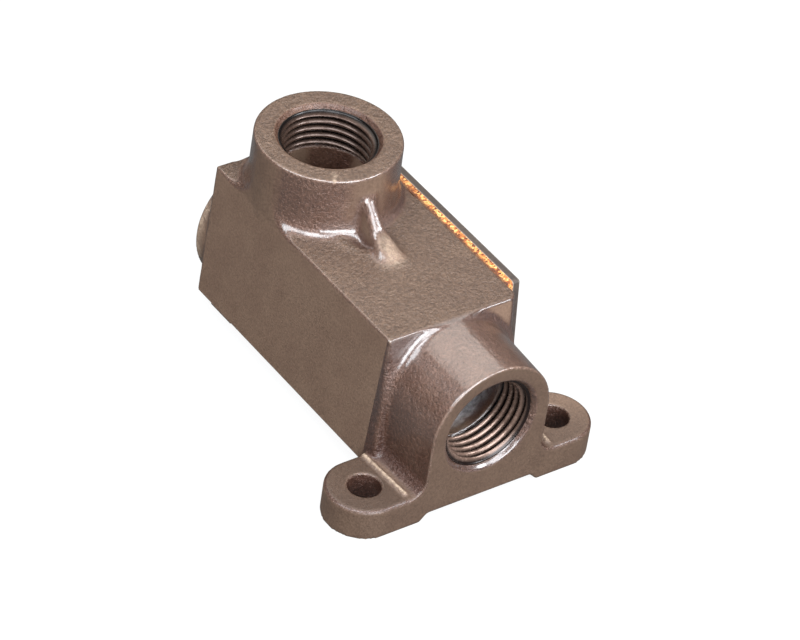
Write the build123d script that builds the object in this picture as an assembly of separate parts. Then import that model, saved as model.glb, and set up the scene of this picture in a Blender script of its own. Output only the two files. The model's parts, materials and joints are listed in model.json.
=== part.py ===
from build123d import *
import math
import os

# Tree mount junction box: one small casting with three threaded hubs, a gasketed side cover and two ears.
# Millimetres. X runs across the ears, with the cover on +X. Y runs from the eared front hub to the rear hub.
# Z is up. The origin lies midway between the two ear holes, on the plane that the pads stand on.

# Ears, pads and the front web
ear_spacing = 48.2
ear_hole_r = 3.6
ear_r = 8.4
ear_top_z = 7.4
web_base_z = 1.8
pad_inner_x = 13.2
pad_slope = 1.8
ear_edge = 0.6

# Drafted box
body_base_z = 4.1
body_top_z = 36.0
body_front_y = 8.8
body_length = 64.8
cover_seat_x = 17.0
side_draft = 3.9
front_draft = 6.2
back_draft = -2.3
body_edge_r = 0.5
seat_corner_r = 2.4

# Wiring chamber
side_wall = 3.6
floor_wall = 3.6
end_wall = 7.2
chamber_corner_r = 2.0

# Threaded hubs: the bores are at the root radius of a half-inch conduit thread
thread_r = 10.6
core_r = 9.9
thread_depth = 10.4
mouth_chamfer = 1.1
mouth_flare = 0.9
hub_r = 15.875
hub_draft = 1.0
rim_edge = 0.3

# Top hub and its rib: each station of the rib is a distance from the hub, a height and two widths
top_hub_y = 57.0
top_hub_height = 14.2
top_fillet_r = 2.9
rib_stations = [
    (-3.0, 9.6, 2.8, 4.4),
    (0.0, 9.6, 2.8, 4.4),
    (5.2, 3.4, 3.6, 5.2),
    (8.6, 1.3, 5.0, 6.4),
    (12.0, 0.15, 6.4, 7.2),
]
rib_bury = 0.8

# Front bell and rear boss, with their bores on one axis
run_axis_z = 20.4
bell_face_r = 14.75
bell_root_r = 15.5
bell_flare_r = 3.4
bell_root_fillet = 2.8
bell_root_bury = 0.55
root_sink = 1.5
rear_boss_r = 17.0
rear_boss_z = 15.8
rear_boss_rise = 3.3
rear_boss_edge = 0.7

# Rear foot
foot_half_width = 15.0
foot_length = 10.0
foot_corner_r = 1.5
foot_setback = 0.3

# Gasket, cover and its screws
gasket_thickness = 1.8
cover_thickness = 1.9
cover_end_inset = 4.7
cover_rim_inset = 0.4
cover_corner_r = 0.8
cover_edge = 0.25
boss_r = 3.5
boss_inset = 2.6
boss_depth = 9.4
screw_r = 1.75
screw_clearance = 0.05
cover_hole_r = 2.1
screw_length = 10.0
screw_hole_depth = 8.2
head_r = 3.4
head_height = 2.2
slot_width = 1.0
slot_depth = 0.9

# Ground screw on the chamber's closed wall
ground_y = 33.0
ground_z = 14.0
ground_boss_r = 4.0
ground_boss_height = 2.5
ground_screw_r = 2.1
ground_screw_length = 5.0
ground_hole_depth = 5.2
ground_head_r = 3.9
ground_head_height = 2.3
ground_gap = 0.3

# Places worked out from the sizes above
front_face_y = -ear_r
body_height = body_top_z - body_base_z
side_slope = math.tan(math.radians(side_draft))
front_slope = math.tan(math.radians(front_draft))
back_slope = math.tan(math.radians(back_draft))
body_back_y = body_front_y + body_length
hub_rim_z = body_top_z + top_hub_height
chamber_front_y = body_front_y + end_wall
chamber_back_y = body_back_y - end_wall
rear_face_y = body_back_y + rear_boss_rise
chamber_floor_z = body_base_z + floor_wall
chamber_ceiling_z = body_top_z - floor_wall
chamber_left_x = -hub_r + side_wall
cover_x = cover_seat_x + gasket_thickness
head_seat_x = cover_x + cover_thickness
hub_slope = math.tan(math.radians(hub_draft))


def left_x(z):
    return -hub_r - side_slope * (body_top_z - z)


def front_y(z):
    return body_front_y - front_slope * (body_top_z - z)


def back_y(z):
    return body_back_y + back_slope * (body_top_z - z)


def sloped_side_cut():
    """Everything outside the box's drafted left side."""
    low = -body_top_z
    high = 3 * body_top_z
    far_x = -6 * hub_r
    with BuildPart() as cut:
        with BuildSketch(Plane.XZ):
            with BuildLine():
                Polyline((left_x(low), low), (left_x(high), high), (far_x, high), (far_x, low), close=True)
            make_face()
        extrude(amount=4 * body_length, both=True)
    return cut.part


def drafted_block(low_z, high_z):
    """The box between two heights, with its cast draft on three sides."""
    with BuildPart() as block:
        with BuildSketch(Plane.YZ.offset(cover_seat_x)):
            with BuildLine():
                Polyline((front_y(low_z), low_z), (back_y(low_z), low_z), (back_y(high_z), high_z),
                         (front_y(high_z), high_z), close=True)
            make_face()
        extrude(amount=-4 * hub_r)
    return block.part - sloped_side_cut()


def body_block():
    """The drafted box with its cast edges softened and the two corners beside the cover rounded."""
    block = drafted_block(body_base_z, body_top_z)
    upright = [e for e in block.edges() if abs(e.position_at(0).Z - e.position_at(1).Z) > body_height / 2]
    seat_edges = [e for e in upright if e.center().X > 0]
    block = fillet(seat_edges, seat_corner_r)
    soft = [e for e in block.edges() if e.center().X < cover_seat_x - 0.1 and e.center().Z > body_base_z + 0.1
            and e.length > 2 * seat_corner_r]
    return fillet(soft, body_edge_r)


def top_hub():
    """Conical hub with a concave foot, trimmed where the foot would overhang the box's left side."""
    foot_r = hub_r + hub_slope * top_hub_height
    with BuildPart() as hub:
        with BuildSketch(Plane.XZ):
            with BuildLine():
                Polyline((0, body_top_z - root_sink), (foot_r, body_top_z - root_sink))
                Line((foot_r, body_top_z - root_sink), (hub_r, hub_rim_z))
                Polyline((hub_r, hub_rim_z), (0, hub_rim_z), (0, body_top_z - root_sink))
            make_face()
        revolve(axis=Axis.Z)
        chamfer(hub.edges().filter_by(GeomType.CIRCLE).sort_by(Axis.Z)[-1], rim_edge)
    with BuildPart() as skirt:
        with BuildSketch(Plane.XZ):
            with BuildLine():
                outer = foot_r + top_fillet_r
                start = (outer, body_top_z)
                end = (foot_r, body_top_z + top_fillet_r)
                RadiusArc(start, end, top_fillet_r)
                Polyline(end, (foot_r - 2, body_top_z + top_fillet_r), (foot_r - 2, body_top_z - root_sink),
                         (outer, body_top_z - root_sink), start)
            make_face()
        revolve(axis=Axis.Z)
    place = Pos(0, top_hub_y, 0)
    trim = drafted_block(body_top_z - 2 * root_sink, hub_rim_z)
    return place * hub.part, (place * skirt.part) & trim


def gusset():
    """Small rib from the top hub down to the top face, wider and lower towards its foot."""
    hub_front_y = top_hub_y - hub_r
    sections = []
    for distance, height, top_width, base_width in rib_stations:
        y = hub_front_y - distance
        low_z = body_top_z - rib_bury
        high_z = body_top_z + height
        corners = [(-base_width / 2, y, low_z), (base_width / 2, y, low_z),
                   (top_width / 2, y, high_z), (-top_width / 2, y, high_z)]
        sections.append(make_face(Polyline(*corners, close=True)))
    return loft(sections, ruled=True)


def bell_outline(radius):
    """A round hub outline over straight sides that flare out onto the ears."""
    knee_z = ear_top_z + bell_flare_r
    toe_x = radius + bell_flare_r
    with BuildSketch() as outline:
        with BuildLine():
            RadiusArc((-radius, run_axis_z), (radius, run_axis_z), radius)
            Line((radius, run_axis_z), (radius, knee_z))
            RadiusArc((radius, knee_z), (toe_x, ear_top_z), -bell_flare_r)
            Polyline((toe_x, ear_top_z), (toe_x, web_base_z), (-toe_x, web_base_z), (-toe_x, ear_top_z))
            RadiusArc((-toe_x, ear_top_z), (-radius, knee_z), -bell_flare_r)
            Line((-radius, knee_z), (-radius, run_axis_z))
        make_face()
    return outline.sketch.face()


def front_bell():
    """The eared bell, drafted from its face back to the box, with a round neck that meets the box's top."""
    face = Plane(origin=(0, front_face_y, 0), x_dir=(1, 0, 0), z_dir=(0, -1, 0))
    root = Plane(origin=(0, ear_r, 0), x_dir=(1, 0, 0), z_dir=(0, -1, 0))
    bell = loft([face * bell_outline(bell_face_r), root * bell_outline(bell_root_r)], ruled=True)
    neck_start = Plane(origin=(0, ear_r, run_axis_z), z_dir=(0, 1, 0))
    neck = neck_start * Cylinder(bell_root_r, end_wall / 2, align=(Align.CENTER, Align.CENTER, Align.MIN))
    return bell + neck


def root_fillet_ring(radius, fillet_r, sink):
    """A concave ring round a hub's root, with its foot on Z = 0 and its body sunk below it."""
    with BuildPart() as ring:
        with BuildSketch(Plane.XZ):
            with BuildLine():
                start = (radius + fillet_r, 0)
                end = (radius, fillet_r)
                RadiusArc(start, end, fillet_r)
                Polyline(end, (radius - 2, fillet_r), (radius - 2, -sink), (radius + fillet_r, -sink), start)
            make_face()
        revolve(axis=Axis.Z)
    return ring.part


def bell_root():
    """The bell's concave root on the sloping front of the box, trimmed at the box's sides."""
    mid_y = front_y(run_axis_z)
    tilt = Plane(origin=(0, mid_y, run_axis_z), x_dir=(1, 0, 0),
                 z_dir=(0, -math.cos(math.radians(front_draft)), math.sin(math.radians(front_draft))))
    ring = tilt * root_fillet_ring(bell_root_r - bell_root_bury, bell_root_fillet, root_sink)
    low = ear_top_z - 1
    room = Pos(cover_seat_x, mid_y, low) * Box(4 * hub_r, 4 * hub_r, body_top_z - low,
                                               align=(Align.MAX, Align.CENTER, Align.MIN))
    return (ring & room) - sloped_side_cut()


def ears():
    """The web with a rounded ear at each end, on two pads that stand proud of its underside."""
    with BuildPart() as plate:
        with BuildSketch(Plane.XY.offset(web_base_z)):
            SlotCenterToCenter(ear_spacing, 2 * ear_r)
        extrude(amount=ear_top_z - web_base_z)
        chamfer(plate.faces().sort_by(Axis.Z)[-1].edges(), ear_edge)
    shape = plate.part
    for side in (-1, 1):
        with BuildPart() as pad:
            with BuildSketch():
                with Locations((side * ear_spacing / 2, 0)):
                    Circle(ear_r)
                with Locations((side * (ear_spacing / 2 + pad_inner_x) / 2, 0)):
                    Rectangle(ear_spacing / 2 - pad_inner_x, 2 * ear_r)
            extrude(amount=web_base_z + 1)
            with BuildSketch(Plane.XZ):
                with BuildLine():
                    Polyline((side * (pad_inner_x - 1), -1), (side * (pad_inner_x - 1), web_base_z),
                             (side * pad_inner_x, web_base_z), (side * (pad_inner_x + pad_slope), 0),
                             (side * (pad_inner_x + pad_slope), -1), close=True)
                make_face()
            extrude(amount=2 * ear_r, both=True, mode=Mode.SUBTRACT)
        shape = shape + pad.part
    return shape


def rear_boss():
    """Low round boss on the back wall, round the rear bore and cut flat at the foot."""
    depth = end_wall / 2 + rear_boss_rise
    place = Plane(origin=(0, rear_face_y, rear_boss_z), z_dir=(0, 1, 0))
    boss = Cylinder(rear_boss_r, depth, align=(Align.CENTER, Align.CENTER, Align.MAX))
    boss = place * chamfer(boss.edges().sort_by(Axis.Z)[-1], rear_boss_edge)
    return split(boss, bisect_by=Plane.XY, keep=Keep.TOP)


def rear_foot():
    foot_back_y = back_y(body_base_z) - foot_setback
    centre_y = foot_back_y - foot_length / 2
    foot = Pos(0, centre_y, 0) * Box(2 * foot_half_width, foot_length, body_base_z + 1,
                                     align=(Align.CENTER, Align.CENTER, Align.MIN))
    return fillet(foot.edges().filter_by(Axis.Z), foot_corner_r)


def chamber():
    """The wiring chamber, open on the cover side."""
    depth = cover_seat_x - chamber_left_x + 1
    core = Box(depth, chamber_back_y - chamber_front_y, chamber_ceiling_z - chamber_floor_z,
               align=(Align.MIN, Align.MIN, Align.MIN))
    core = Pos(chamber_left_x, chamber_front_y, chamber_floor_z) * core
    return fillet(core.edges().filter_by(Axis.X), chamber_corner_r)


def cover_screw_places():
    """Name, Y and Z of the four cover screws, near the chamber's corners."""
    low = chamber_floor_z + boss_inset
    high = chamber_ceiling_z - boss_inset
    front = chamber_front_y + boss_inset
    back = chamber_back_y - boss_inset
    return [("front_lower", front, low), ("front_upper", front, high),
            ("rear_lower", back, low), ("rear_upper", back, high)]


def along_x(x, y, z):
    """A place whose own Z points out through the cover."""
    return Plane(origin=(x, y, z), x_dir=(0, 1, 0), z_dir=(1, 0, 0))


def cover_outline(end_inset, rim_inset):
    """The cover's drafted outline on the seat, set in from the box's ends and its top and base."""
    low = body_base_z + rim_inset
    high = body_top_z - rim_inset
    corners = [
        (front_y(low) + end_inset, low),
        (back_y(low) - end_inset, low),
        (back_y(high) - end_inset, high),
        (front_y(high) + end_inset, high),
    ]
    return corners


def cover_slab(end_inset, rim_inset, x, thickness, corner_r):
    with BuildPart() as slab:
        with BuildSketch(Plane.YZ.offset(x)) as sketch:
            with BuildLine():
                Polyline(*cover_outline(end_inset, rim_inset), close=True)
            make_face()
            fillet(sketch.vertices(), corner_r)
        extrude(amount=thickness)
    return slab.part


def gasket():
    """A cork frame the size of the cover, open over the chamber, with a screw hole in each corner."""
    outline = cover_slab(cover_end_inset, cover_rim_inset, cover_seat_x, gasket_thickness, cover_corner_r)
    window = Box(2 * gasket_thickness, chamber_back_y - chamber_front_y, chamber_ceiling_z - chamber_floor_z,
                 align=(Align.CENTER, Align.MIN, Align.MIN))
    window = Pos(cover_seat_x + gasket_thickness / 2, chamber_front_y, chamber_floor_z) * window
    window = fillet(window.edges().filter_by(Axis.X), chamber_corner_r)
    tabs = Part()
    for name, y, z in cover_screw_places():
        tabs += along_x(cover_seat_x, y, z) * Cylinder(boss_r, gasket_thickness,
                                                       align=(Align.CENTER, Align.CENTER, Align.MIN))
    ring = (outline - window) + (tabs & outline)
    for name, y, z in cover_screw_places():
        ring -= along_x(cover_seat_x, y, z) * Cylinder(cover_hole_r, 4 * gasket_thickness)
    return ring


def cover():
    plate = cover_slab(cover_end_inset, cover_rim_inset, cover_x, cover_thickness, cover_corner_r)
    for name, y, z in cover_screw_places():
        plate -= along_x(cover_x, y, z) * Cylinder(cover_hole_r, 4 * cover_thickness)
    outer = plate.faces().sort_by(Axis.X)[-1].outer_wire().edges()
    return chamfer(outer, cover_edge)


def slotted_screw(radius, length, head_radius, height):
    """A pan-head slotted screw with its head's seat at Z = 0 and its shank below."""
    shank = Pos(0, 0, -length / 2) * Cylinder(radius, length)
    head = Pos(0, 0, height / 2) * Cylinder(head_radius, height)
    head = chamfer(head.edges().sort_by(Axis.Z)[-1], height * 0.35, height * 0.5)
    slot = Pos(0, 0, height) * Box(2.2 * head_radius, slot_width, 2 * slot_depth)
    return head + shank - slot


def threaded_bore(place, length, total):
    """A bore from its mouth inward along -Z: chamfer, thread root, then the cored way into the chamber."""
    bore = Pos(0, 0, -length / 2) * Cylinder(thread_r, length)
    bore += Pos(0, 0, -total / 2) * Cylinder(core_r, total)
    mouth = Pos(0, 0, -mouth_chamfer / 2) * Cone(thread_r, thread_r + mouth_flare, mouth_chamfer)
    return place * (bore + mouth)


front_mouth = Plane(origin=(0, front_face_y, run_axis_z), x_dir=(1, 0, 0), z_dir=(0, -1, 0))
rear_mouth = Plane(origin=(0, rear_face_y, run_axis_z), x_dir=(-1, 0, 0), z_dir=(0, 1, 0))
top_mouth = Plane(origin=(0, top_hub_y, hub_rim_z), x_dir=(1, 0, 0), z_dir=(0, 0, 1))
ground_seat = along_x(chamber_left_x + ground_boss_height, ground_y, ground_z)


def cast_body():
    """The whole casting: box, three hubs, ears, foot and rib, then its chamber, bosses and bores."""
    hub, skirt = top_hub()
    body = body_block() + hub + skirt + gusset()
    body = body + front_bell() + bell_root() + ears() + rear_boss() + rear_foot()
    body -= chamber()
    for name, y, z in cover_screw_places():
        boss = along_x(cover_seat_x, y, z) * Cylinder(boss_r, boss_depth,
                                                      align=(Align.CENTER, Align.CENTER, Align.MAX))
        body += boss
    body += ground_seat * Cylinder(ground_boss_r, ground_boss_height + 1,
                                   align=(Align.CENTER, Align.CENTER, Align.MAX))
    for name, y, z in cover_screw_places():
        body -= along_x(cover_seat_x, y, z) * Cylinder(screw_r + screw_clearance, 2 * screw_hole_depth)
    body -= ground_seat * Cylinder(ground_screw_r + screw_clearance, 2 * ground_hole_depth)
    for side in (-1, 1):
        body -= Pos(side * ear_spacing / 2, 0, 0) * Cylinder(ear_hole_r, 4 * ear_top_z)
    reach = 0.6
    body -= threaded_bore(top_mouth, thread_depth, hub_rim_z - chamber_ceiling_z + reach)
    body -= threaded_bore(front_mouth, thread_depth, chamber_front_y - front_face_y + reach)
    body -= threaded_bore(rear_mouth, thread_depth, rear_face_y - chamber_back_y + reach)
    return body


nodes = {
    "cast_body": cast_body(),
    "cover_gasket": gasket(),
    "cover_plate": cover(),
}
for place_name, screw_y, screw_z in cover_screw_places():
    screw = slotted_screw(screw_r, screw_length, head_r, head_height)
    nodes["cover_screw_" + place_name] = along_x(head_seat_x, screw_y, screw_z) * screw
ground = slotted_screw(ground_screw_r, ground_screw_length, ground_head_r, ground_head_height)
nodes["ground_screw"] = ground_seat * Pos(0, 0, ground_gap) * ground

os.makedirs("parts", exist_ok=True)
for node_name, solid in nodes.items():
    export_step(solid, "parts/" + node_name + ".step")
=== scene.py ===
import json
import math
from types import SimpleNamespace

import bmesh
import bpy
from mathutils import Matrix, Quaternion, Vector


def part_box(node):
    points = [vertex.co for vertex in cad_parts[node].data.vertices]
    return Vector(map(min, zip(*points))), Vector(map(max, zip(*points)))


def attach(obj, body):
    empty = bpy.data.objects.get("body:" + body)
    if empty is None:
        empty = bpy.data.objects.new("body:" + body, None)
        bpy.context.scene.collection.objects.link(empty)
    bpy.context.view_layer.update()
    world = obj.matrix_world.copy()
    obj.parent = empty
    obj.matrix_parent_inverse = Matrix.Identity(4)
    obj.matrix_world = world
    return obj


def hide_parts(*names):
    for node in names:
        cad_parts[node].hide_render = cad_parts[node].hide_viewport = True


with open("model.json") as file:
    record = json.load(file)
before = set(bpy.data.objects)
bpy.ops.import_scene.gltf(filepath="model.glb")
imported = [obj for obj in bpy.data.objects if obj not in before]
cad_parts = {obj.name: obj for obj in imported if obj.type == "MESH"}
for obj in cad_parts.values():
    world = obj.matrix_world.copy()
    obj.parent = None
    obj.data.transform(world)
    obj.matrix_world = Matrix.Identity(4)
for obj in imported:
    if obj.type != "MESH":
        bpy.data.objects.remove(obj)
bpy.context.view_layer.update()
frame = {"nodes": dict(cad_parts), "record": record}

MM = 0.001


def in_mm(metres):
    """A length of the frame in millimetres, to the micrometre."""
    return round(metres / MM, 3)


# Sizes of the object from the frame
body_low, body_high = (Vector(corner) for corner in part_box("cast_body"))
gasket_low = Vector(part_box("cover_gasket")[0])
mounts = {mount["name"]: mount for mount in frame["record"]["mounts"]}
HUBS = ("hub_top", "hub_front", "hub_rear")
TOP_HUB_Y = in_mm(mounts["hub_top"]["pos_m"][1])
BELL_AXIS_Z = in_mm(mounts["hub_front"]["pos_m"][2])
EAR_HOLE_X = mounts["ear_holes"]["dims"]["spacing_x_mm"] / 2

# Half-inch conduit thread: pitch, ridge, wall behind it and gap to the CAD bore, in metres
THREAD_PITCH = 25.4 / 14 * MM
THREAD_RIDGE = 1.15 * MM
THREAD_SKIN = 0.35 * MM
THREAD_INSET = 0.12 * MM
THREAD_STEPS = 96
THREAD_ROWS_PER_TURN = 16

# The ridge's foot and roundness, and the pitches over which it grows at the mouth and ends inside
RIDGE_FOOT = 0.94
RIDGE_ROUNDNESS = 0.9
RIDGE_START = 0.5
RIDGE_END = 0.6

# Values that the meshes store at each vertex, and the part of the ridge's height where the painted shade of
# the groove gives way to paint
CREST_LAYER = "crest"
CREST_SPAN = (0.25, 0.8)
PALE_MARK_LAYER = "pale_marks"

# The casting's skin: voxel size in metres, strength and rounds of smoothing, and the most triangles
VOXEL = 0.34 * MM
SOFTEN_FACTOR = 0.5
SOFTEN_ROUNDS = 2
RIB_ROUNDS = 60
BELL_ROUNDS = 20
HUB_ROUNDS = 40
SKIN_TRIANGLES = 190000

# Zones of the skin that are smoothed further, in millimetres: both limits and the feather outside them
RIB_ZONE_X = (0.0, 5.2, 1.5)
RIB_ZONE_Y = (27.0, 41.0, 1.5)
RIB_ZONE_Z = (36.0, 46.0, 0.6)
BELL_RING_REACH = (15.2, 19.0, 1.0)
BELL_RING_Y = (4.5, 8.4, 0.8)
BELL_RING_Z = (9.0, 34.0, 1.0)
FLARE_ZONE_X = (14.5, 17.5, 1.0)
FLARE_ZONE_Y = (-6.8, 7.5, 0.5)
FLARE_ZONE_Z = (6.9, 9.5, 0.8)
HUB_RING_REACH = (15.0, 19.4, 0.8)
HUB_RING_Z = (36.0, 40.0, 0.8)

# Relief by the rib's foot, in millimetres: both ends of each line in plan, its width and its height
RIB_RELIEF = [
    ((0.3, 33.0), (-0.3, 30.6), 2.6, 0.8),
    ((-6.8, 40.4), (-1.8, 31.6), 1.1, 0.7),
    ((-3.6, 39.8), (-2.4, 34.6), 1.2, -0.4),
]

# Where that relief lies, in millimetres: its levels with their feather, and its end along Y
RIB_RELIEF_Z = (35.8, 38.6, 0.8)
RIB_RELIEF_END_Y = 41.0

# The thin raised line on each ear, in millimetres: its ends in plan, width, height, level and limits
EAR_LINE = [(18.3, -6.2), (19.0, 7.6)]
EAR_LINE_WIDTH = 0.48
EAR_LINE_HEIGHT = 0.6
EAR_LINE_Z = 7.8
EAR_LINE_LIMITS_Z = (7.0, 8.6)


def ear_line_ends(side):
    """Both ends of the raised line on the ear at one side, 1 or -1."""
    return [(side * x, y, EAR_LINE_Z) for x, y in EAR_LINE]


# Pale marks on the casting, in millimetres: ends of each line, width and strength. The marks on the ear
# lines, the rear boss and the rib are painted highlights; the others are rubbed paint.
PALE_MARKS_AND_HIGHLIGHTS = [
    (*ear_line_ends(-1), 0.46, 0.85),
    (*ear_line_ends(1), 0.46, 0.85),
    ((-16.9, 75.7, 9.0), (-15.4, 75.7, 24.0), 1.3, 0.7),
    ((-6.6, 45.4, 50.2), (-7.9, 43.3, 50.0), 0.32, 0.8),
    ((-0.6, -7.3, 8.9), (-0.4, -7.3, 2.2), 0.35, 0.8),
    ((0.3, 33.2, 37.4), (-0.3, 30.4, 36.6), 2.2, 0.5),
]

# Spans over which the paint changes, in millimetres along the side that ends each name
BEHIND_BELL_Y = (8.5, 9.5)
RIGHT_OF_BELL_X = (3.0, 8.0)
MOUTH_FACE_Y = (-6.0, -5.0)
BODY_SIDES_Y = (10.0, 12.0)
BELOW_BELL_TOP_Z = (12.0, 14.0)
EAR_SIDES_Z = (6.6, 7.2)
EAR_TOP_Z = (6.9, 7.3)
ABOVE_EARS_Z = (9.0, 12.0)
LOWER_HALF_Z = (9.0, 20.0)
GLOSS_RISE_Z = (9.0, 21.0)
HUB_RIGHT_X = (2.0, 12.0)
HUB_FRONT_Y = (34.0, 40.0)
BELL_LENGTH_Y = (9.0, 10.0)
ROOT_START_Y = (6.5, 8.4)
ROOT_END_Y = (9.5, 10.5)
# Where the painted shade on the bell's face fades out
FRONT_SHADE_Y = (-7.0, 7.0)
LEFT_EAR_X = (-20.0, -18.0)
BODY_TOP_Z = (35.2, 35.9)
BORE_LENGTH_Y = (3.2, 7.5)
TOP_THREAD_FOOT_Z = (34.0, 36.0)

# Spans of the same kind that are measured outward from a hole's axis
EAR_HOLE_WALL = (3.8, 4.1)
BORE_WALL = (10.3, 10.6)
MOUTH_CHAMFER = (11.9, 12.3)
TOP_BORE_CHAMFER = (12.3, 12.6)

# Masks of rubbed edges and of painted shade in creases: how far they look, in metres, their strength and the
# openness they answer to
EDGE_REACH = 0.5 * MM
EDGE_WEAR = 0.8
EDGE_OPENNESS = (0.9, 0.66)
COVER_EDGE_REACH = 0.35 * MM
CREASE_REACH = 3.4 * MM
CREASE_STRENGTH = 0.9
CREASE_OPENNESS = (0.93, 0.6)

# How squarely a surface faces an axis, 0 to 1, where a mask starts and where it is full
UPRIGHT_FACING = (0.93, 0.985)
LEVEL_FACING = (0.84, 0.96)
UPWARD_FACING = (0.6, 0.95)

# Noises: scale in cycles per metre, detail and roughness
CAST_GRAIN = (2300, 3.0, 0.6)
CAST_PATCHES = (150, 3.0, 0.5)
CAST_MOTTLE = (1300, 4.0, 0.75)
CAST_WRINKLE = (1150, 4.0, 0.66)
COAT_RIPPLE = (900, 2.0, 0.5)
PALE_MARK_CLOUD = (900, 3.0, 0.7)
BORE_REFLECTION_CLOUD = (700, 3.0, 0.6)
THREAD_GRAIN = (1100, 3.0, 0.6)
CORK_CRUMBS = (2100, 3.0, 0.5)
SHEET_GRAIN = (1400, 3.0, 0.6)
SHEET_PATCHES = (90, 2.0, 0.5)
SCREW_GRAIN = (1500, 3.0, 0.65)
CORK_CELL_SCALE = 1900

# The part of a noise that each look takes in
NOISE_MIDDLE = (0.3, 0.7)
MOTTLE_PART = (0.38, 0.62)
PALE_MARK_PART = (0.42, 0.6)
CORK_DRIFT_PART = (0.52, 0.66)
SHEET_GRAIN_PART = (0.45, 0.7)

# The casting's look where its paint pools and where it is flat
CAST_ROUGHNESS = (0.32, 0.55)
CAST_METAL = (0.32, 0.05)
CAST_COAT = (1.0, 0.05)
CAST_RUGGED = (0.8, 0.15)

# More of its look: the coat, the flats' dullness without and with sheen, and what grain and the pale marks
# add
COAT_ROUGHNESS = 0.21
COAT_IOR = 1.75
SHEEN_MATT = (1.0, 0.4)
GRAIN_ROUGHNESS = (-0.05, 0.06)
PALE_MARK_ROUGHNESS = 0.4
PALE_MARK_COVER = (0.4, 0.9)
SPECK_STRENGTH = 0.7

# Roughness and metal of the other materials; a pair follows the grain
THREAD_ROUGHNESS = (0.22, 0.3)
THREAD_METAL = 0.45
CORK_ROUGHNESS = 0.85
SHEET_ROUGHNESS = (0.55, 0.7)
SCREW_ROUGHNESS = (0.25, 0.45)
PLATED_METAL = 0.9
GREEN_METAL = 0.3

# Heights of the finest relief, in metres
WRINKLE_HEIGHT = 0.62 * MM
GRAIN_HEIGHT = 0.06 * MM
RIPPLE_HEIGHT = 0.08 * MM
CORK_HEIGHT = 0.25 * MM
SHEET_HEIGHT = 0.05 * MM
SCREW_HEIGHT = 0.03 * MM

# The cork's band of painted shade by the casting, in metres
CORK_RAGGED = 0.35 * MM
CORK_SHADE_START = 0.35 * MM
CORK_SHADE_END = 0.75 * MM

# Lamps, all at one distance in metres: name, azimuth, elevation, width, height, watts and colour
LAMP_DISTANCE = 0.9
WARM_LIGHT = (1.0, 0.97, 0.92)
COOL_LIGHT = (0.9, 0.95, 1.0)
LAMPS = [
    ("overhead", 166, 56, 1.1, 0.9, 6.0, WARM_LIGHT),
    ("lamp_left", -90, 46, 0.6, 0.5, 6.6, COOL_LIGHT),
    ("lamp_near", -44, 58, 0.36, 0.5, 5.4, COOL_LIGHT),
    ("lamp_front", 6, 46, 0.52, 0.5, 6.4, COOL_LIGHT),
    ("lamp_low", -8, 20, 0.9, 0.34, 11.0, COOL_LIGHT),
    ("lamp_right", 44, 38, 0.26, 0.3, 4.6, COOL_LIGHT),
]

# The room's light from straight below, 0, to straight above, 1
ROOM_LIGHT = [(0.0, 0.06), (0.55, 0.09), (0.75, 0.26), (1.0, 0.44)]

# The floor: half its width in metres, its greys and roughness, and its glow as seen and as mirrored
FLOOR_REACH = 3.0
FLOOR_SEEN = 0.8
FLOOR_UNSEEN = 0.03
FLOOR_ROUGHNESS = 0.9
FLOOR_GLOW_SEEN = 0.92
FLOOR_GLOW_MIRRORED = 0.1

# Places of the colour mixer's inputs, which are factor, first and second, and of its output
MIXER_INPUTS = (0, 6, 7)
MIXER_OUTPUT = 2

# Camera, fitted to the photograph
CAMERA_PLACE = Vector((-0.4544, -0.5068, 0.5840))
CAMERA_AZIMUTH = -40.50
CAMERA_ELEVATION = 38.69
CAMERA_ROLL = 8.97
CAMERA_LENS = 193.6
CAMERA_SENSOR = 36
CAMERA_NEAR = 0.01


def srgb(red, green, blue):
    """A colour written as 0 to 255 display values, in linear light."""
    linear = []
    for value in (red, green, blue):
        share = value / 255
        linear.append(share / 12.92 if share <= 0.04045 else ((share + 0.055) / 1.055) ** 2.4)
    return (*linear, 1.0)


def grey(level):
    """A grey in linear light."""
    return (level, level, level, 1.0)


# Colours of the paints and metals; a pair is a darker and a paler patch
WHITE = grey(1.0)
POOLED_PAINT = (srgb(102, 72, 58), srgb(114, 84, 69))
# Painted shade: a dark brown laid on the pooled paint by the top hub's right side, low on the bell and at
# its root
POOLED_PAINT_SHADE = srgb(66, 38, 31)
# Painted shade: the dark brown laid in creases and corners
CREASE_SHADE = srgb(58, 33, 26)
THIN_PAINT = (srgb(114, 90, 74), srgb(121, 97, 80))
# Pale rubbed paint, also used for the painted highlights among the pale marks
WORN_AND_HIGHLIGHT_PAINT = srgb(200, 176, 152)
# Painted reflection: pale greys laid on the front bore's wall past its threads
BORE_PAINTED_REFLECTION = [(0.0, srgb(116, 112, 116)), (1.0, srgb(210, 210, 212))]
# Painted shade: a grey that darkens the thin paint on the bell's face, the left ear's top and the box's top
PAINTED_SHADE_GREY = srgb(148, 140, 134)
SPECKS = [(0.34, srgb(185, 180, 176)), (0.5, srgb(228, 226, 224)), (0.66, WHITE)]
MOTTLE = [(0.0, srgb(196, 192, 189)), (1.0, WHITE)]
THREAD_PAINT = (srgb(106, 84, 73), srgb(124, 101, 89))
# Painted shade: near-black laid in the thread's grooves
THREAD_GROOVE_SHADE = srgb(26, 16, 13)
THREAD_SHADE = srgb(96, 76, 64)
CORK_GRANULES = [
    (0.0, srgb(64, 30, 14)),
    (0.3, srgb(130, 70, 32)),
    (0.55, srgb(192, 118, 58)),
    (1.0, srgb(230, 176, 108)),
]
CORK_DRIFT = srgb(112, 58, 26)
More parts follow.
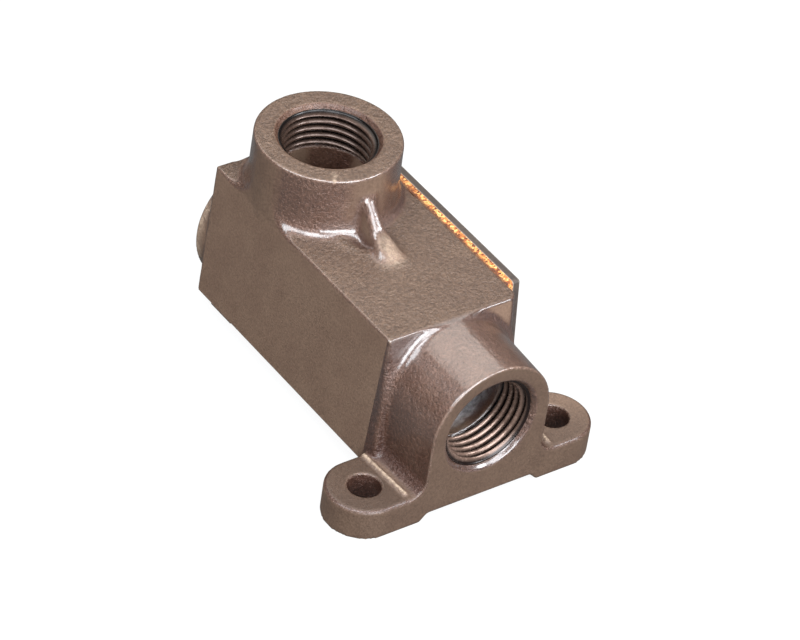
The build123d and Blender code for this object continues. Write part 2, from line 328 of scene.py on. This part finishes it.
# Painted shade: the dark brown band on the cork by the casting
CORK_SHADE_BAND = srgb(70, 38, 22)
COVER_PAINT = (srgb(46, 37, 33), srgb(58, 48, 42))
COVER_GRAIN = srgb(78, 65, 57)
COVER_EDGE = srgb(150, 134, 120)
PLATED_STEEL = (srgb(128, 124, 118), srgb(176, 172, 166))
GREEN_PLATING = (srgb(20, 92, 44), srgb(34, 120, 62))


def new_material(name):
    material = bpy.data.materials.new(name)
    material.use_nodes = True
    tree = material.node_tree
    return material, tree, tree.nodes["Principled BSDF"]


def add_node(tree, kind, **values):
    node = tree.nodes.new(kind)
    for key, value in values.items():
        setattr(node, key, value)
    return node


def fill(tree, socket, value):
    """Gives an input a number or a colour, or links another node's output to it."""
    if isinstance(value, (int, float, tuple)):
        socket.default_value = value
    else:
        tree.links.new(value, socket)


def fill_named(tree, node, **values):
    """Fills a node's inputs by name, with an underscore for each space."""
    for key, value in values.items():
        fill(tree, node.inputs[key.replace("_", " ")], value)


def object_place(tree):
    return add_node(tree, "ShaderNodeTexCoord").outputs["Object"]


def split_axes(tree, place):
    """The X, Y and Z parts of a place, as outputs by name."""
    node = add_node(tree, "ShaderNodeSeparateXYZ")
    tree.links.new(place, node.inputs[0])
    return node.outputs


def stored_value(tree, layer):
    """A number that the mesh stores at each vertex."""
    return add_node(tree, "ShaderNodeAttribute", attribute_name=layer).outputs["Fac"]


def noise_map(tree, place, scale, detail, roughness):
    """Noise with a scale in cycles per metre."""
    node = add_node(tree, "ShaderNodeTexNoise")
    fill_named(tree, node, Vector=place, Scale=scale, Detail=detail, Roughness=roughness)
    return node.outputs["Fac"]


def ramp(tree, value, stops):
    """A colour ramp with (position, colour) stops."""
    node = add_node(tree, "ShaderNodeValToRGB")
    points = node.color_ramp.elements
    while len(points) < len(stops):
        points.new(0.5)
    for point, (position, colour) in zip(points, stops):
        point.position = position
        point.color = colour
    tree.links.new(value, node.inputs["Fac"])
    return node.outputs["Color"]


def mix_colour(tree, factor, first, second, blend="MIX"):
    node = add_node(tree, "ShaderNodeMix", data_type="RGBA", blend_type=blend)
    for place, value in zip(MIXER_INPUTS, (factor, first, second)):
        fill(tree, node.inputs[place], value)
    return node.outputs[MIXER_OUTPUT]


def map_range(tree, value, low, high, to_low, to_high):
    node = add_node(tree, "ShaderNodeMapRange")
    fill_named(tree, node, Value=value, From_Min=low, From_Max=high, To_Min=to_low, To_Max=to_high)
    return node.outputs["Result"]


def over_span(tree, value, span, first, last):
    """A value that goes from first to last while another crosses a span in millimetres."""
    return map_range(tree, value, span[0] * MM, span[1] * MM, first, last)


def contrast(tree, value, low=0.35, high=0.65):
    """A value whose middle part is stretched to fill 0 to 1."""
    return map_range(tree, value, low, high, 0.0, 1.0)


def between(tree, mask, at_nought, at_one):
    """A value picked by a mask that goes from nought to one."""
    return map_range(tree, mask, 0.0, 1.0, at_nought, at_one)


def combine(tree, operation, first, second=0.0, *others):
    """Arithmetic on one or two values, or on more of them in turn."""
    node = add_node(tree, "ShaderNodeMath", operation=operation)
    fill(tree, node.inputs[0], first)
    fill(tree, node.inputs[1], second)
    result = node.outputs[0]
    for value in others:
        result = combine(tree, operation, result, value)
    return result


def dot_size(tree, vector, axis):
    """Size of a vector's part along an axis."""
    node = add_node(tree, "ShaderNodeVectorMath", operation="DOT_PRODUCT")
    fill(tree, node.inputs[0], vector)
    fill(tree, node.inputs[1], axis)
    return combine(tree, "ABSOLUTE", node.outputs["Value"])


def diagonal(tree, first, second):
    """Length of the diagonal over two distances at right angles."""
    square = combine(tree, "ADD", combine(tree, "POWER", first, 2.0), combine(tree, "POWER", second, 2.0))
    return combine(tree, "SQRT", square)


def bump(tree, height, distance, strength, under=None):
    """A bumped normal, laid over another one where there is one under it."""
    node = add_node(tree, "ShaderNodeBump")
    fill_named(tree, node, Height=height, Distance=distance, Strength=strength)
    if under is not None:
        fill_named(tree, node, Normal=under)
    return node.outputs["Normal"]


def edge_mask(tree, reach, strength):
    """Bright along outward edges, where the far side of the metal is within reach."""
    inside = add_node(tree, "ShaderNodeAmbientOcclusion", samples=8, inside=True, only_local=True)
    fill_named(tree, inside, Distance=reach)
    return map_range(tree, inside.outputs["AO"], *EDGE_OPENNESS, 0.0, strength)


def crease_shade_mask(tree, reach, strength):
    """High in creases and corners, where other metal is within reach across the air: where painted shade is
    laid.
    """
    outside = add_node(tree, "ShaderNodeAmbientOcclusion", samples=6, only_local=True)
    fill_named(tree, outside, Distance=reach)
    return map_range(tree, outside.outputs["AO"], *CREASE_OPENNESS, 0.0, strength)


def upright_flats(tree, axes, normal, behind_bell):
    """One on the body's sides, on the mouth's face and right of the bell, where paint dries dull."""
    side = combine(tree, "MULTIPLY", dot_size(tree, normal, (1, 0, 0)), behind_bell)
    right = over_span(tree, axes["X"], RIGHT_OF_BELL_X, 0.0, 1.0)
    mouth = over_span(tree, axes["Y"], MOUTH_FACE_Y, 1.0, 0.0)
    body = over_span(tree, axes["Y"], BODY_SIDES_Y, 0.0, 1.0)
    dull_front = combine(tree, "MAXIMUM", right, mouth, body)
    facing = combine(tree, "MULTIPLY", dot_size(tree, normal, (0, 1, 0)), dull_front)
    return contrast(tree, combine(tree, "MAXIMUM", side, facing), *UPRIGHT_FACING)


def flat_mask(tree, axes, normal):
    """One on the flats, the rims and the ears, nought on hubs and fillets, where the paint pools."""
    behind_bell = over_span(tree, axes["Y"], BEHIND_BELL_Y, 0.0, 1.0)
    upright = upright_flats(tree, axes, normal, behind_bell)
    level = contrast(tree, dot_size(tree, normal, (0, 0, 1)), *LEVEL_FACING)
    low = over_span(tree, axes["Z"], BELOW_BELL_TOP_Z, 1.0, 0.0)
    level = combine(tree, "MULTIPLY", level, combine(tree, "MAXIMUM", behind_bell, low))
    ears = over_span(tree, axes["Z"], EAR_SIDES_Z, 1.0, 0.0)
    from_hole_x = combine(tree, "SUBTRACT", combine(tree, "ABSOLUTE", axes["X"]), EAR_HOLE_X * MM)
    outside_hole = over_span(tree, diagonal(tree, from_hole_x, axes["Y"]), EAR_HOLE_WALL, 0.0, 1.0)
    ears = combine(tree, "MULTIPLY", ears, outside_hole)
    return combine(tree, "MAXIMUM", upright, level, ears)


def bore_reach(tree, axes, side, centre):
    """Distance from the axis of a bore that lies at X nought and at a centre along another side."""
    offset = combine(tree, "SUBTRACT", axes[side], centre * MM)
    return diagonal(tree, offset, axes["X"])


def bore_reflection_mask(tree, axes):
    """Nought outside the front bore, rising to nearly one past its threads, where a pale painted reflection
    is laid on the wall.
    """
    inside = over_span(tree, bore_reach(tree, axes, "Z", BELL_AXIS_Z), BORE_WALL, 1.0, 0.0)
    return combine(tree, "MULTIPLY", inside, over_span(tree, axes["Y"], BORE_LENGTH_Y, 0.0, 0.9))


def painted_shade_tint(tree, axes):
    """Painted shade: darker paint on the bell's face, the left ear's top and the box's top."""
    front = over_span(tree, axes["Y"], FRONT_SHADE_Y, 0.36, 1.0)
    ear = over_span(tree, axes["X"], LEFT_EAR_X, 0.2, 1.0)
    ear = combine(tree, "MAXIMUM", ear, over_span(tree, axes["Z"], EAR_TOP_Z, 1.0, 0.0))
    top = over_span(tree, axes["Z"], BODY_TOP_Z, 1.0, 0.72)
    unshaded = combine(tree, "MULTIPLY", ear, top, front)
    return ramp(tree, unshaded, [(0.0, PAINTED_SHADE_GREY), (1.0, WHITE)])


def gloss(tree, axes):
    """Full on the upper half and in the front mouth, dulled low down and in the top bore."""
    upper = over_span(tree, axes["Z"], GLOSS_RISE_Z, 0.25, 1.0)
    mouth = over_span(tree, bore_reach(tree, axes, "Z", BELL_AXIS_Z), MOUTH_CHAMFER, 1.0, 0.0)
    top_bore = over_span(tree, bore_reach(tree, axes, "Y", TOP_HUB_Y), TOP_BORE_CHAMFER, 0.1, 1.0)
    return combine(tree, "MULTIPLY", combine(tree, "MAXIMUM", upper, mouth), top_bore)


def cast_masks(tree):
    """The casting's axes and grain, and its masks from nought to one."""
    place = object_place(tree)
    axes = split_axes(tree, place)
    normal = add_node(tree, "ShaderNodeNewGeometry").outputs["Normal"]
    flat = flat_mask(tree, axes, normal)
    upward = contrast(tree, dot_size(tree, normal, (0, 0, 1)), *UPWARD_FACING)
    above_ears = over_span(tree, axes["Z"], ABOVE_EARS_Z, 0.35, 1.0)
    level_skin = combine(tree, "MULTIPLY", upward, flat, above_ears)
    rugged = combine(tree, "MAXIMUM", level_skin, between(tree, flat, *CAST_RUGGED))
    # Rubbed edges, and pale marks that are partly rubbed paint and partly painted highlights
    rubbed_and_highlit = combine(tree, "MAXIMUM", edge_mask(tree, EDGE_REACH, EDGE_WEAR), stored_value(tree, PALE_MARK_LAYER))
    return SimpleNamespace(
        place=place,
        axes=axes,
        grain=noise_map(tree, place, *CAST_GRAIN),
        flat=flat,
        upward=upward,
        rugged=rugged,
        rubbed_and_highlit=rubbed_and_highlit,
        painted=combine(tree, "SUBTRACT", 1.0, rubbed_and_highlit),
    )


def pooled_colour(tree, axes, patches):
    """Thick paint, with painted shade by the top hub's right side, low on the bell and at the bell's root.
    """
    right = over_span(tree, axes["X"], HUB_RIGHT_X, 0.0, 0.55)
    corner = combine(tree, "MULTIPLY", right, over_span(tree, axes["Y"], HUB_FRONT_Y, 0.0, 1.0))
    low = over_span(tree, axes["Z"], LOWER_HALF_Z, 0.6, 0.0)
    low = combine(tree, "MULTIPLY", low, over_span(tree, axes["Y"], BELL_LENGTH_Y, 1.0, 0.0))
    root = over_span(tree, axes["Y"], ROOT_START_Y, 0.0, 0.6)
    root = combine(tree, "MULTIPLY", root, over_span(tree, axes["Y"], ROOT_END_Y, 1.0, 0.0))
    shade_share = combine(tree, "MAXIMUM", low, root, corner)
    return mix_colour(tree, shade_share, mix_colour(tree, patches, *POOLED_PAINT), POOLED_PAINT_SHADE)


def cast_colour(tree, masks):
    """Thin and pooled paint with specks and mottle, then painted shade in creases, a pale painted reflection
    in the bore, and rubbed edges and marks, some of them painted highlights.
    """
    place = masks.place
    patches = contrast(tree, noise_map(tree, place, *CAST_PATCHES))
    pooled = pooled_colour(tree, masks.axes, patches)
    # Thin paint, darkened by painted shade on the bell's face, the left ear's top and the box's top
    thin = mix_colour(tree, 1.0, mix_colour(tree, patches, *THIN_PAINT), painted_shade_tint(tree, masks.axes), "MULTIPLY")
    colour = mix_colour(tree, masks.flat, pooled, thin)
    colour = mix_colour(tree, SPECK_STRENGTH, colour, ramp(tree, masks.grain, SPECKS), "MULTIPLY")
    mottle = contrast(tree, noise_map(tree, place, *CAST_MOTTLE), *MOTTLE_PART)
    colour = mix_colour(tree, masks.rugged, colour, ramp(tree, mottle, MOTTLE), "MULTIPLY")
    # Painted shade in creases and corners
    colour = mix_colour(tree, crease_shade_mask(tree, CREASE_REACH, CREASE_STRENGTH), colour, CREASE_SHADE)
    # A pale painted reflection on the front bore's wall past its threads
    bore_reflection = ramp(tree, contrast(tree, noise_map(tree, place, *BORE_REFLECTION_CLOUD)), BORE_PAINTED_REFLECTION)
    colour = mix_colour(tree, bore_reflection_mask(tree, masks.axes), colour, bore_reflection)
    # Pale rubbed paint on edges and marks, with painted highlights on some of the marks
    broken = map_range(tree, noise_map(tree, place, *PALE_MARK_CLOUD), *PALE_MARK_PART, *PALE_MARK_COVER)
    return mix_colour(tree, combine(tree, "MULTIPLY", masks.rubbed_and_highlit, broken), colour, WORN_AND_HIGHLIGHT_PAINT)


def cast_roughness(tree, masks):
    """Dull on the flats, a little smoother on level ones, and rough where the paint is rubbed off and on the
    painted highlights.
    """
    sheen = combine(tree, "MULTIPLY", masks.upward, over_span(tree, masks.axes["Z"], ABOVE_EARS_Z, 0.0, 1.0))
    matt = combine(tree, "MULTIPLY", masks.flat, between(tree, sheen, *SHEEN_MATT))
    grainy = map_range(tree, masks.grain, *NOISE_MIDDLE, *GRAIN_ROUGHNESS)
    rubbed_and_highlit = between(tree, masks.painted, PALE_MARK_ROUGHNESS, 0.0)
    return combine(tree, "ADD", between(tree, matt, *CAST_ROUGHNESS), grainy, rubbed_and_highlit)


def cast_paint():
    """Bronze-brown enamel on sand-cast metal: dull and pale on flats, dark and glossy where it pools."""
    material, tree, shader = new_material("cast_paint")
    masks = cast_masks(tree)
    place = masks.place
    coat = between(tree, masks.flat, *CAST_COAT)
    coat = combine(tree, "MULTIPLY", coat, masks.painted, gloss(tree, masks.axes))
    metal = combine(tree, "MULTIPLY", between(tree, masks.flat, *CAST_METAL), masks.painted)
    wrinkle = bump(tree, noise_map(tree, place, *CAST_WRINKLE), WRINKLE_HEIGHT, masks.rugged)
    fill_named(
        tree, shader,
        Base_Color=cast_colour(tree, masks),
        Roughness=cast_roughness(tree, masks),
        Metallic=metal,
        Normal=bump(tree, masks.grain, GRAIN_HEIGHT, 0.5, wrinkle),
        Coat_Weight=coat,
        Coat_Roughness=COAT_ROUGHNESS,
        Coat_IOR=COAT_IOR,
        Coat_Normal=bump(tree, noise_map(tree, place, *COAT_RIPPLE), RIPPLE_HEIGHT, 0.6),
    )
    return material


def thread_paint():
    """The same paint, thinner and shinier on the thread's crests, with painted shade in its grooves."""
    material, tree, shader = new_material("thread_paint")
    place = object_place(tree)
    grain = noise_map(tree, place, *THREAD_GRAIN)
    colour = mix_colour(tree, contrast(tree, grain), *THREAD_PAINT)
    crest = contrast(tree, stored_value(tree, CREST_LAYER), *CREST_SPAN)
    # Painted shade in the grooves
    colour = mix_colour(tree, crest, THREAD_GROOVE_SHADE, colour)
    shaded = over_span(tree, split_axes(tree, place)["Z"], TOP_THREAD_FOOT_Z, 0.0, 0.75)
    fill_named(
        tree, shader,
        Base_Color=mix_colour(tree, shaded, colour, THREAD_SHADE, "MULTIPLY"),
        Roughness=map_range(tree, grain, *NOISE_MIDDLE, *THREAD_ROUGHNESS),
        Metallic=THREAD_METAL,
    )
    return material


def cork():
    """Cork composition: pale orange granules between dark brown ones, with painted shade in a band by the
    casting.
    """
    material, tree, shader = new_material("cork")
    place = object_place(tree)
    cells = add_node(tree, "ShaderNodeTexVoronoi", feature="F1")
    fill_named(tree, cells, Vector=place, Scale=CORK_CELL_SCALE)
    split = add_node(tree, "ShaderNodeSeparateColor")
    fill_named(tree, split, Color=cells.outputs["Color"])
    colour = ramp(tree, split.outputs[0], CORK_GRANULES)
    drift = noise_map(tree, place, *CORK_CRUMBS)
    colour = mix_colour(tree, map_range(tree, drift, *CORK_DRIFT_PART, 0.0, 0.75), colour, CORK_DRIFT)
    ragged = map_range(tree, drift, *NOISE_MIDDLE, -CORK_RAGGED, CORK_RAGGED)
    ragged = combine(tree, "ADD", split_axes(tree, place)["X"], ragged)
    # A band of painted shade on the cork by the casting, with a ragged edge
    shade_start = gasket_low.x + CORK_SHADE_START
    shade_end = gasket_low.x + CORK_SHADE_END
    shade_band = map_range(tree, ragged, shade_start, shade_end, 0.85, 0.0)
    fill_named(
        tree, shader,
        Base_Color=mix_colour(tree, shade_band, colour, CORK_SHADE_BAND),
        Roughness=CORK_ROUGHNESS,
        Normal=bump(tree, drift, CORK_HEIGHT, 0.7),
    )
    return material


def cover_paint():
    """Dark brown paint on pressed sheet, with paler cut edges."""
    material, tree, shader = new_material("cover_paint")
    place = object_place(tree)
    grain = noise_map(tree, place, *SHEET_GRAIN)
    patches = contrast(tree, noise_map(tree, place, *SHEET_PATCHES), *NOISE_MIDDLE)
    colour = mix_colour(tree, patches, *COVER_PAINT)
    colour = mix_colour(tree, map_range(tree, grain, *SHEET_GRAIN_PART, 0.0, 0.5), colour, COVER_GRAIN)
    fill_named(
        tree, shader,
        Base_Color=mix_colour(tree, edge_mask(tree, COVER_EDGE_REACH, EDGE_WEAR), colour, COVER_EDGE),
        Roughness=map_range(tree, grain, *NOISE_MIDDLE, *SHEET_ROUGHNESS),
        Normal=bump(tree, grain, SHEET_HEIGHT, 0.5),
    )
    return material


def screw_metal(name, colours, metallic):
    material, tree, shader = new_material(name)
    grain = noise_map(tree, object_place(tree), *SCREW_GRAIN)
    fill_named(
        tree, shader,
        Base_Color=mix_colour(tree, contrast(tree, grain), *colours),
        Roughness=map_range(tree, grain, *NOISE_MIDDLE, *SCREW_ROUGHNESS),
        Metallic=metallic,
        Normal=bump(tree, grain, SCREW_HEIGHT, 0.4),
    )
    return material


def link(piece):
    bpy.context.scene.collection.objects.link(piece)
    return piece


def apply_modifiers(piece):
    graph = bpy.context.evaluated_depsgraph_get()
    mesh = bpy.data.meshes.new_from_object(piece.evaluated_get(graph))
    piece.modifiers.clear()
    piece.data = mesh


def shade_smooth(piece):
    for face in piece.data.polygons:
        face.use_smooth = True


def millimetres(place):
    return [value / MM for value in place]


def fade(value, low, high, feather):
    """One between two limits, falling to nought over a feather outside them."""
    return max(0.0, min(1.0, (value - low) / feather + 1, (high - value) / feather + 1))


def near_line(place, start, end, width):
    """One on a line, falling smoothly to nought over a width."""
    run = Vector(end) - Vector(start)
    offset = place - Vector(start)
    share = max(0.0, min(1.0, offset.dot(run) / run.length_squared))
    return math.exp(-((offset - run * share).length / width) ** 2)


def rib_zone(place):
    """The rib on the top face and the corner where it meets the hub."""
    x, y, z = millimetres(place)
    return fade(abs(x), *RIB_ZONE_X) * fade(y, *RIB_ZONE_Y) * fade(z, *RIB_ZONE_Z)


def bell_zone(place):
    """The ring where the front bell grows out of the box, and its flare onto the ears."""
    x, y, z = millimetres(place)
    reach = math.hypot(x, max(0.0, z - BELL_AXIS_Z))
    ring = fade(reach, *BELL_RING_REACH) * fade(y, *BELL_RING_Y) * fade(z, *BELL_RING_Z)
    flare = fade(abs(x), *FLARE_ZONE_X) * fade(z, *FLARE_ZONE_Z) * fade(y, *FLARE_ZONE_Y)
    return max(ring, flare)


def hub_zone(place):
    """The concave ring at the foot of the top hub."""
    x, y, z = millimetres(place)
    return fade(math.hypot(x, y - TOP_HUB_Y), *HUB_RING_REACH) * fade(z, *HUB_RING_Z)


def rib_relief(place):
    """How far the metal stands proud, in metres, by the foot of the rib."""
    x, y, z = millimetres(place)
    level = fade(z, *RIB_RELIEF_Z)
    if level == 0 or y > RIB_RELIEF_END_Y:
        return 0.0
    plan = Vector((x, y))
    lines = sum(height * near_line(plan, start, end, width) for start, end, width, height in RIB_RELIEF)
    return lines * level * MM


def ear_relief(place):
    """How far the thin line stands proud, in metres, where the bell's flare runs out on each ear."""
    x, y, z = millimetres(place)
    low, high = EAR_LINE_LIMITS_Z
    if not low < z < high:
        return 0.0
    return EAR_LINE_HEIGHT * near_line(Vector((abs(x), y)), *EAR_LINE, EAR_LINE_WIDTH) * MM


def pale_mark_strength(place):
    """How pale a place on the casting is, from rubbed paint and from painted highlights."""
    place = place / MM
    return max(strength * near_line(place, start, end, width) for start, end, width, strength in PALE_MARKS_AND_HIGHLIGHTS)


def raise_skin(piece, relief):
    for vertex in piece.data.vertices:
        vertex.co.z += relief(vertex.co)


def add_soften(piece, name, rounds):
    soften = piece.modifiers.new(name, "SMOOTH")
    soften.factor = SOFTEN_FACTOR
    soften.iterations = rounds
    return soften


def soften_zone(piece, name, zone, rounds):
    """Smooths a casting's skin further inside one zone."""
    group = piece.vertex_groups.new(name=name)
    for vertex in piece.data.vertices:
        weight = zone(vertex.co)
        if weight > 0:
            group.add([vertex.index], weight, "REPLACE")
    add_soften(piece, name, rounds).vertex_group = name
    apply_modifiers(piece)
    piece.vertex_groups.clear()


def thin_out(piece, most):
    """Brings a mesh down to the most triangles that it may have."""
    triangles = sum(len(face.vertices) - 2 for face in piece.data.polygons)
    if triangles > most:
        thin = piece.modifiers.new("thin", "DECIMATE")
        thin.ratio = most / triangles
        apply_modifiers(piece)


def cast_skin(node, name):
    """A soft-edged copy of a CAD node, as sand and paint leave a casting."""
    source = frame["nodes"][node]
    piece = link(bpy.data.objects.new(name, source.data.copy()))
    remesh = piece.modifiers.new("remesh", "REMESH")
    remesh.mode = "VOXEL"
    remesh.voxel_size = VOXEL
    remesh.use_smooth_shade = True
    add_soften(piece, "soften", SOFTEN_ROUNDS)
    apply_modifiers(piece)
    raise_skin(piece, rib_relief)
    soften_zone(piece, "rib", rib_zone, RIB_ROUNDS)
    soften_zone(piece, "bell", bell_zone, BELL_ROUNDS)
    soften_zone(piece, "hub", hub_zone, HUB_ROUNDS)
    raise_skin(piece, ear_relief)
    thin_out(piece, SKIN_TRIANGLES)
    # Stores the pale marks at each vertex: rubbed paint, and painted highlights on the ear lines, the rear
    # boss and the rib
    pale_marks = piece.data.attributes.new(PALE_MARK_LAYER, "FLOAT", "POINT")
    pale_marks.data.foreach_set("value", [pale_mark_strength(vertex.co) for vertex in piece.data.vertices])
    shade_smooth(piece)
    return piece


def ridge_height(phase):
    """Height of the thread's ridge, 0 to 1, over one pitch: a narrow root under a rounded crest."""
    place = abs(phase - 0.5) * 2
    rise = max(0.0, (RIDGE_FOOT - place) / RIDGE_FOOT)
    return math.sin(rise * math.pi / 2) ** RIDGE_ROUNDNESS


def thread_height(depth, length, turn):
    """Height of the ridge, 0 to 1, at a depth in the bore and a share of a turn."""
    grown = depth / (RIDGE_START * THREAD_PITCH)
    left = (length - depth) / (RIDGE_END * THREAD_PITCH)
    return ridge_height((depth / THREAD_PITCH + turn) % 1.0) * min(1.0, grown, left)


def add_ring(mesh, centre, spokes, radii):
    return [mesh.verts.new(centre + spoke * radius) for spoke, radius in zip(spokes, radii)]


def thread_liner(mount_name, name):
    """Helical ridges that stand inward from a hub's bore, as one closed ring."""
    mount = mounts[mount_name]
    root = mount["dims"]["r_mm"] * MM
    length = mount["dims"]["length_mm"] * MM
    axis = Vector(mount["axis"])
    mouth = Vector(mount["pos_m"])
    across = axis.orthogonal().normalized()
    up = axis.cross(across)
    turns = [step / THREAD_STEPS for step in range(THREAD_STEPS)]
    angles = [2 * math.pi * step / THREAD_STEPS for step in range(THREAD_STEPS)]
    spokes = [across * math.cos(angle) + up * math.sin(angle) for angle in angles]
    mesh = bmesh.new()
    crests = mesh.verts.layers.float.new(CREST_LAYER)
    rings = []
    rows = int(length / THREAD_PITCH * THREAD_ROWS_PER_TURN)
    for row in range(rows + 1):
        depth = length * row / rows
        heights = [thread_height(depth, length, turn) for turn in turns]
        radii = [root - THREAD_INSET - THREAD_RIDGE * height for height in heights]
        rings.append(add_ring(mesh, mouth - axis * depth, spokes, radii))
        for vertex, height in zip(rings[-1], heights):
            vertex[crests] = height
    for depth in (length, 0.0):
        rings.append(add_ring(mesh, mouth - axis * depth, spokes, [root + THREAD_SKIN] * THREAD_STEPS))
    for first, second in zip(rings, rings[1:] + rings[:1]):
        for step in range(THREAD_STEPS):
            following = (step + 1) % THREAD_STEPS
            mesh.faces.new((first[step], first[following], second[following], second[step]))
    bmesh.ops.recalc_face_normals(mesh, faces=mesh.faces)
    data = bpy.data.meshes.new(name)
    mesh.to_mesh(data)
    mesh.free()
    piece = link(bpy.data.objects.new(name, data))
    shade_smooth(piece)
    return piece


def finish_piece(piece, material, replaced=None):
    piece.data.materials.clear()
    piece.data.materials.append(material)
    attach(piece, "root")
    if replaced:
        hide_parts(replaced)


def dress_node(node, material):
    source = frame["nodes"][node]
    if not source.material_slots:
        source.data.materials.append(material)
    for place in source.material_slots:
        place.material = material


def build_object():
    paint = cast_paint()
    casting = cast_skin("cast_body", "casting")
    finish_piece(casting, paint, "cast_body")
    threads = thread_paint()
    for hub in HUBS:
        finish_piece(thread_liner(hub, "threads_" + hub), threads)
    dress_node("cover_gasket", cork())
    dress_node("cover_plate", cover_paint())
    plated = screw_metal("plated_steel", PLATED_STEEL, PLATED_METAL)
    for node in frame["nodes"]:
        if node.startswith("cover_screw"):
            dress_node(node, plated)
    dress_node("ground_screw", screw_metal("green_screw", GREEN_PLATING, GREEN_METAL))


def direction(azimuth, elevation):
    """Unit vector from the object towards a place seen at an azimuth and elevation."""
    turn = math.radians(azimuth)
    rise = math.radians(elevation)
    return Vector((math.sin(turn) * math.cos(rise), -math.cos(turn) * math.cos(rise), math.sin(rise)))


def area_light(name, place, target, width, height, power, colour):
    data = bpy.data.lights.new(name, "AREA")
    data.shape = "ELLIPSE"
    data.size = width
    data.size_y = height
    data.energy = power
    data.color = colour
    lamp = link(bpy.data.objects.new(name, data))
    lamp.location = place
    lamp.rotation_mode = "QUATERNION"
    lamp.rotation_quaternion = (Vector(target) - Vector(place)).to_track_quat("-Z", "Y")


def room():
    """Light that is dim below and paler above, behind a background that the camera sees as white."""
    world = bpy.data.worlds.new("studio")
    bpy.context.scene.world = world
    world.use_nodes = True
    tree = world.node_tree
    rays = add_node(tree, "ShaderNodeLightPath")
    way = add_node(tree, "ShaderNodeTexCoord").outputs["Generated"]
    height = contrast(tree, split_axes(tree, way)["Z"], -1.0, 1.0)
    light = ramp(tree, height, [(position, grey(level)) for position, level in ROOM_LIGHT])
    colour = mix_colour(tree, rays.outputs["Is Camera Ray"], light, WHITE)
    fill_named(tree, tree.nodes["Background"], Color=colour)


def floor():
    """A pale floor that keeps the object's shadow and throws little light back at it."""
    corners = [(-1, -1), (1, -1), (1, 1), (-1, 1)]
    mesh = bpy.data.meshes.new("floor")
    mesh.from_pydata([(x * FLOOR_REACH, y * FLOOR_REACH, 0) for x, y in corners], [], [(0, 1, 2, 3)])
    piece = link(bpy.data.objects.new("floor", mesh))
    material, tree, shader = new_material("floor")
    rays = add_node(tree, "ShaderNodeLightPath")
    shade = mix_colour(tree, rays.outputs["Is Camera Ray"], grey(FLOOR_UNSEEN), grey(FLOOR_SEEN))
    fill_named(tree, shader, Base_Color=shade, Roughness=FLOOR_ROUGHNESS)
    glow = add_node(tree, "ShaderNodeEmission")
    fill_named(tree, glow, Strength=1.0)
    seen = combine(tree, "MULTIPLY", rays.outputs["Is Camera Ray"], FLOOR_GLOW_SEEN)
    mirrored = combine(tree, "MULTIPLY", rays.outputs["Is Glossy Ray"], FLOOR_GLOW_MIRRORED)
    mixer = add_node(tree, "ShaderNodeMixShader")
    fill(tree, mixer.inputs[0], combine(tree, "ADD", seen, mirrored))
    fill(tree, mixer.inputs[1], shader.outputs[0])
    fill(tree, mixer.inputs[2], glow.outputs[0])
    fill_named(tree, tree.nodes["Material Output"], Surface=mixer.outputs[0])
    piece.data.materials.append(material)


def lamps():
    """One large warm lamp above and behind, and cool ones round the front."""
    centre = (body_low + body_high) / 2
    for name, azimuth, elevation, width, height, power, colour in LAMPS:
        place = centre + direction(azimuth, elevation) * LAMP_DISTANCE
        area_light(name, place, centre, width, height, power, colour)


def camera():
    data = bpy.data.cameras.new("camera")
    data.lens = CAMERA_LENS
    data.sensor_width = CAMERA_SENSOR
    data.clip_start = CAMERA_NEAR
    viewer = link(bpy.data.objects.new("camera", data))
    viewer.location = CAMERA_PLACE
    back = direction(CAMERA_AZIMUTH, CAMERA_ELEVATION)
    aim = (-back).to_track_quat("-Z", "Y")
    viewer.rotation_mode = "QUATERNION"
    viewer.rotation_quaternion = aim @ Quaternion((0, 0, 1), math.radians(CAMERA_ROLL))
    bpy.context.scene.camera = viewer


build_object()
bpy.context.scene.view_settings.view_transform = "Standard"
room()
floor()
lamps()
camera()
